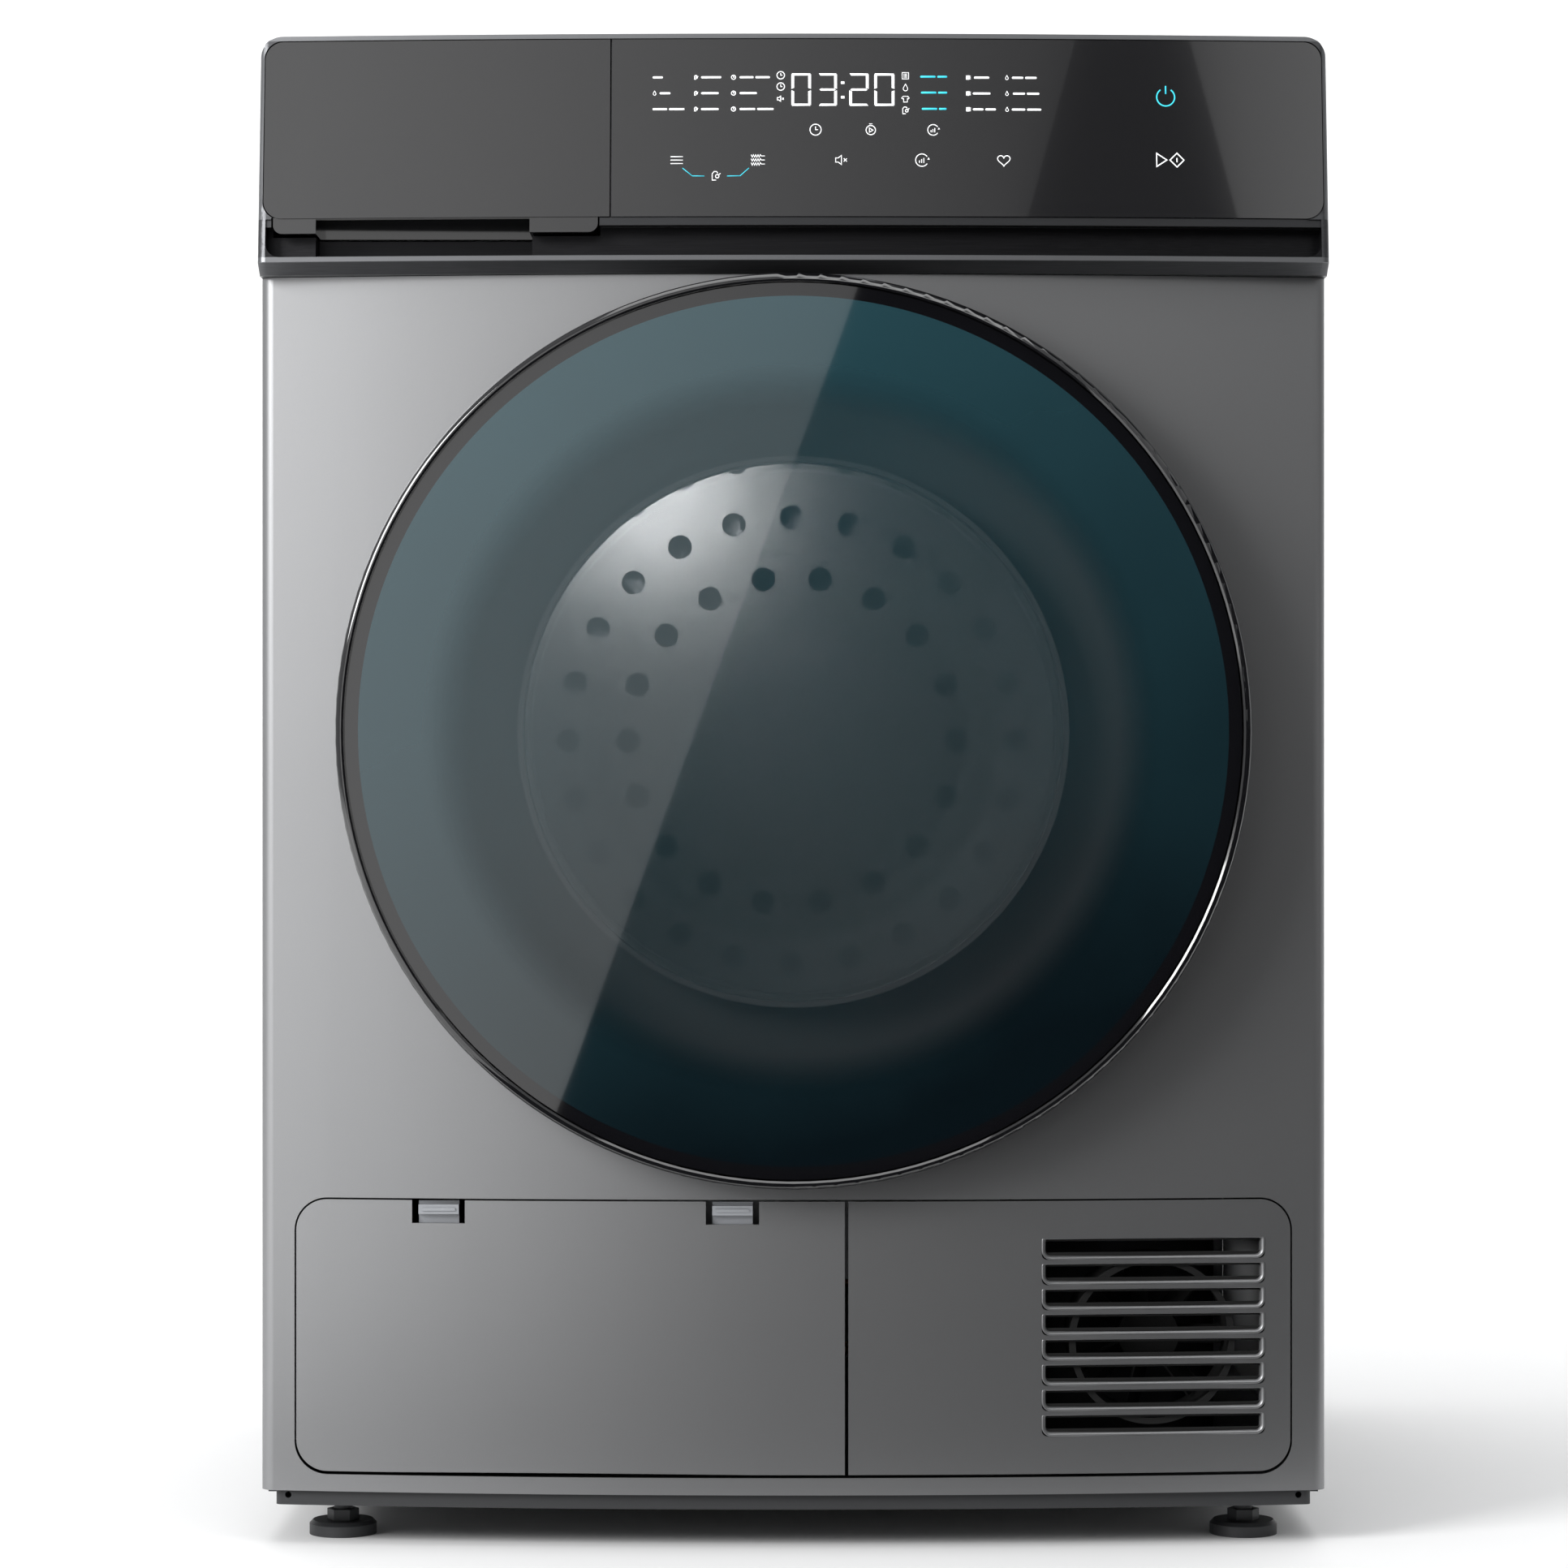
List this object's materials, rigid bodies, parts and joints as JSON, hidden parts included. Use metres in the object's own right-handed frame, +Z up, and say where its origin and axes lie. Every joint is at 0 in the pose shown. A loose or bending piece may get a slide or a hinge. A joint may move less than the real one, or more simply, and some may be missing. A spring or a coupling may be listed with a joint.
{
  "type": "clothes dryer",
  "caption": "Front-loading heat-pump clothes dryer with a round side-hinged door, a pull-out water tank and a fold-down service hatch.",
  "frame": {"origin": "on the floor under the middle of the cabinet", "axes": "+Z up, -Y out of the door side, +X to the right of a person facing the door"},
  "size_m": [0.595, 0.64, 0.845],
  "materials": {
    "plastic_grey": "moulded grey plastic",
    "plastic_dark": "dark grey moulded plastic",
    "plastic_white": "white moulded plastic",
    "latch_plastic": "smooth grey plastic",
    "panel_paint": "satin metallic grey paint",
    "case_paint": "satin grey paint",
    "galvanised": "galvanised sheet",
    "drum_steel": "stainless steel, fine brushed",
    "fascia_finish": "brushed dark metallic plastic",
    "fascia_glass": "polished dark glass look",
    "door_glass": "smoked glass with a teal cast",
    "bowl_glass": "clear glass",
    "door_gloss": "gloss black plastic",
    "rubber": "black rubber",
    "felt": "wool felt",
    "board_green": "solder-masked board",
    "worktop": "laminated board with a grey metallic face",
    "tank_plastic": "translucent natural plastic",
    "motor_steel": "dark enamel",
    "compressor_black": "black enamel",
    "aluminium": "bare fins",
    "copper": "copper tube",
    "bright_steel": "ground steel"
  },
  "bodies": {
    "cabinet": {"base_moulding": "plastic_dark", "left_side_panel": "case_paint", "right_side_panel": "case_paint", "rear_panel": "galvanised", "rear_duct_cover": "galvanised", "worktop": "worktop", "front_panel": "panel_paint", "front_bulkhead": "plastic_grey", "lint_filter": "plastic_white", "rear_bulkhead": "galvanised", "rear_bearing": "plastic_white", "control_fascia": "fascia_finish", "display_glass": "fascia_glass", "display_board": "board_green", "tank_sleeve": "plastic_white", "door_hinge_bracket": "bright_steel", "door_lock": "plastic_white", "drum_front_seal": "felt", "drive_belt": "rubber", "drive_motor": "motor_steel", "motor_bracket": "galvanised", "blower_housing": "plastic_white", "exchanger_housing": "plastic_dark", "evaporator": "aluminium", "condenser": "aluminium", "exchanger_cover": "plastic_dark", "compressor": "compressor_black", "refrigerant_pipes": "copper", "condensate_pump": "plastic_white", "drain_spigot": "plastic_white", "cord_gland": "plastic_dark", "main_board": "board_green", "ventilation_grille": "panel_paint"},
    "door": {"door_ring": "door_gloss", "door_glass": "door_glass", "door_inner_frame": "plastic_grey", "door_bowl": "bowl_glass", "door_seal": "rubber", "door_hinge_arm": "bright_steel", "door_latch_hook": "plastic_white"},
    "drum": {"drum_shell": "drum_steel", "drum_back": "drum_steel", "drum_lifters": "plastic_grey"},
    "motor_rotor": {"motor_shaft": "bright_steel", "blower_wheel": "plastic_dark"},
    "idler": {"idler_pulley": "plastic_white"},
    "left_support_roller": {"left_roller": "rubber"},
    "right_support_roller": {"right_roller": "rubber"},
    "tank": {"water_tank": "tank_plastic", "tank_front": "fascia_glass"},
    "hatch": {"service_hatch": "panel_paint"},
    "hatch_latch_left": {"left_hatch_latch": "latch_plastic"},
    "hatch_latch_right": {"right_hatch_latch": "latch_plastic"},
    "turn_latch_left": {"left_turn_latch": "latch_plastic"},
    "turn_latch_right": {"right_turn_latch": "latch_plastic"},
    "cooling_fan": {"cooling_fan_blade": "plastic_dark"},
    "foot_front_left": {"front_left_foot": "plastic_dark"},
    "foot_front_right": {"front_right_foot": "plastic_dark"},
    "foot_rear_left": {"rear_left_foot": "plastic_dark"},
    "foot_rear_right": {"rear_right_foot": "plastic_dark"}
  },
  "joints": [
    {"name": "door_swing", "type": "hinge", "parent": "cabinet", "child": "door", "pos_m": [0.24, -0.298, 0.454], "axis": [0, 0, 1], "range_deg": [0, 120]},
    {"name": "drum_spin", "type": "hinge", "parent": "cabinet", "child": "drum", "pos_m": [0, 0, 0.454], "axis": [0, 1, 0], "continuous": true},
    {"name": "motor_spin", "type": "hinge", "parent": "cabinet", "child": "motor_rotor", "pos_m": [0.195, 0, 0.11], "axis": [0, 1, 0], "continuous": true},
    {"name": "idler_spin", "type": "hinge", "parent": "cabinet", "child": "idler", "pos_m": [0.09309, 0, 0.11294], "axis": [0, 1, 0], "continuous": true},
    {"name": "left_roller_spin", "type": "hinge", "parent": "cabinet", "child": "left_support_roller", "pos_m": [-0.15332, 0, 0.23504], "axis": [0, 1, 0], "continuous": true},
    {"name": "right_roller_spin", "type": "hinge", "parent": "cabinet", "child": "right_support_roller", "pos_m": [0.15332, 0, 0.23504], "axis": [0, 1, 0], "continuous": true},
    {"name": "tank_slide", "type": "slide", "parent": "cabinet", "child": "tank", "axis": [0, -1, 0], "range_m": [0, 0.43]},
    {"name": "hatch_fold", "type": "hinge", "parent": "cabinet", "child": "hatch", "pos_m": [-0.2775, -0.26501, 0.0878], "axis": [0.9984, -0.0561, 0], "range_deg": [0, 90]},
    {"name": "left_hatch_latch_press", "type": "slide", "parent": "hatch", "child": "hatch_latch_left", "axis": [0, 0, -1], "range_m": [0, 0.004], "stiffness_N_per_m": 400, "springref_m": -0.002},
    {"name": "right_hatch_latch_press", "type": "slide", "parent": "hatch", "child": "hatch_latch_right", "axis": [0, 0, -1], "range_m": [0, 0.004], "stiffness_N_per_m": 400, "springref_m": -0.002},
    {"name": "left_turn_latch_turn", "type": "hinge", "parent": "cabinet", "child": "turn_latch_left", "pos_m": [-0.246, -0.202, 0.132], "axis": [0, 1, 0], "range_deg": [0, 90]},
    {"name": "right_turn_latch_turn", "type": "hinge", "parent": "cabinet", "child": "turn_latch_right", "pos_m": [-0.052, -0.202, 0.132], "axis": [0, 1, 0], "range_deg": [-90, 0]},
    {"name": "cooling_fan_spin", "type": "hinge", "parent": "cabinet", "child": "cooling_fan", "pos_m": [0.2, -0.259, 0.115], "axis": [0, 1, 0], "continuous": true},
    {"name": "front_left_foot_screw", "type": "slide", "parent": "cabinet", "child": "foot_front_left", "axis": [0, 0, -1], "range_m": [0, 0.01]},
    {"name": "front_right_foot_screw", "type": "slide", "parent": "cabinet", "child": "foot_front_right", "axis": [0, 0, -1], "range_m": [0, 0.01]},
    {"name": "rear_left_foot_screw", "type": "slide", "parent": "cabinet", "child": "foot_rear_left", "axis": [0, 0, -1], "range_m": [0, 0.01]},
    {"name": "rear_right_foot_screw", "type": "slide", "parent": "cabinet", "child": "foot_rear_right", "axis": [0, 0, -1], "range_m": [0, 0.01]}
  ],
  "couplings": [
    {"joint": "motor_spin", "follows": "drum_spin", "ratio": 30.222},
    {"joint": "idler_spin", "follows": "drum_spin", "ratio": -15.111},
    {"joint": "left_roller_spin", "follows": "drum_spin", "ratio": -11.136},
    {"joint": "right_roller_spin", "follows": "drum_spin", "ratio": -11.136}
  ]
}
